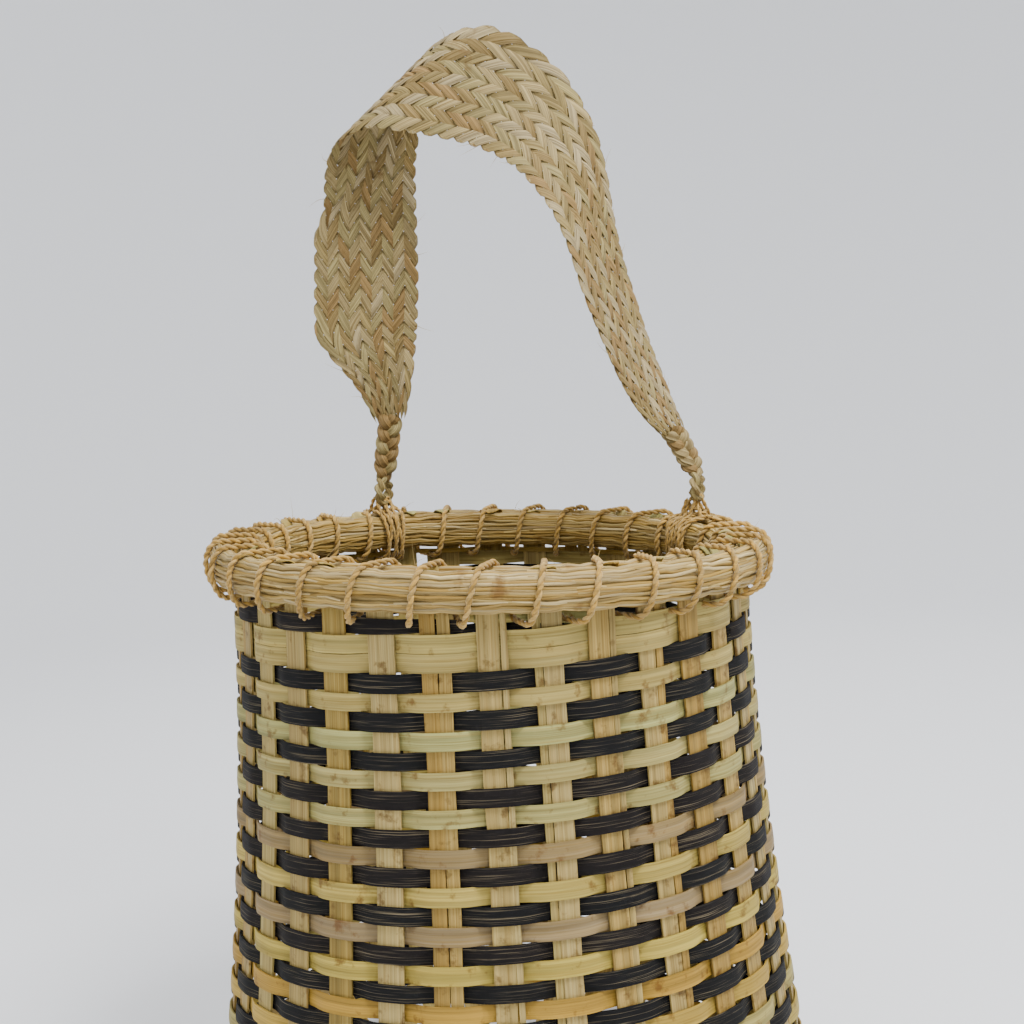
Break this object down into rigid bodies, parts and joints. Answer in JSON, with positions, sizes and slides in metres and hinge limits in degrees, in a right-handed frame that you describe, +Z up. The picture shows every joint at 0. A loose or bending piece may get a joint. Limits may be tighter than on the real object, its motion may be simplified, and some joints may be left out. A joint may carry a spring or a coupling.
{
  "type": "woven splint basket",
  "caption": "Round woven splint basket with a straw-bundle rim and a plaited strap that swings on two tied eyes at the back of the rim.",
  "frame": {"origin": "middle of the base, on the surface the basket stands on", "axes": "+Z up, +Y towards the side where the strap is tied, +X along the strap's hinge line"},
  "size_m": [0.2686, 0.2686, 0.5064],
  "materials": {
    "natural_splint": "dry split cane, satin, lengthwise grain",
    "pale_splint": "pale greenish to tan split cane, satin",
    "dark_splint": "dyed near-black splint with pale lengthwise streaks",
    "rim_straw": "bundle of dry straw stems",
    "twine": "two-ply plant-fibre twine",
    "plaited_palm": "plaited dry palm leaf strips"
  },
  "bodies": {
    "basket": {"splint_across_1": "natural_splint", "splint_across_2": "natural_splint", "splint_across_3": "natural_splint", "splint_across_4": "natural_splint", "splint_across_5": "natural_splint", "splint_across_6": "natural_splint", "splint_across_7": "natural_splint", "splint_across_8": "natural_splint", "splint_along_1": "natural_splint", "splint_along_2": "natural_splint", "splint_along_3": "natural_splint", "splint_along_4": "natural_splint", "splint_along_5": "natural_splint", "splint_along_6": "natural_splint", "splint_along_7": "natural_splint", "splint_along_8": "natural_splint", "dark_weft_01": "dark_splint", "dark_weft_02": "dark_splint", "dark_weft_03": "dark_splint", "dark_weft_04": "dark_splint", "dark_weft_05": "dark_splint", "dark_weft_06": "dark_splint", "dark_weft_07": "dark_splint", "dark_weft_08": "dark_splint", "dark_weft_09": "dark_splint", "dark_weft_10": "dark_splint", "dark_weft_11": "dark_splint", "dark_weft_12": "dark_splint", "dark_weft_13": "dark_splint", "dark_weft_14": "dark_splint", "dark_weft_15": "dark_splint", "light_weft_01": "pale_splint", "light_weft_02": "pale_splint", "light_weft_03": "pale_splint", "light_weft_04": "pale_splint", "light_weft_05": "pale_splint", "light_weft_06": "pale_splint", "light_weft_07": "pale_splint", "light_weft_08": "pale_splint", "light_weft_09": "pale_splint", "light_weft_10": "pale_splint", "light_weft_11": "pale_splint", "light_weft_12": "pale_splint", "light_weft_13": "pale_splint", "light_weft_14": "pale_splint", "light_weft_15": "pale_splint", "light_weft_16": "pale_splint", "extra_light_weft": "pale_splint", "rim_outer_bundle": "rim_straw", "rim_inner_bundle": "rim_straw", "rim_lashing": "twine", "left_tie": "twine", "right_tie": "twine"},
    "strap": {"strap_band": "plaited_palm", "left_braid": "plaited_palm", "right_braid": "plaited_palm"}
  },
  "joints": [
    {"name": "strap_swing", "type": "hinge", "parent": "basket", "child": "strap", "pos_m": [0, 0.08207, 0.2827], "axis": [1, 0, 0], "range_deg": [-100, 75]}
  ]
}
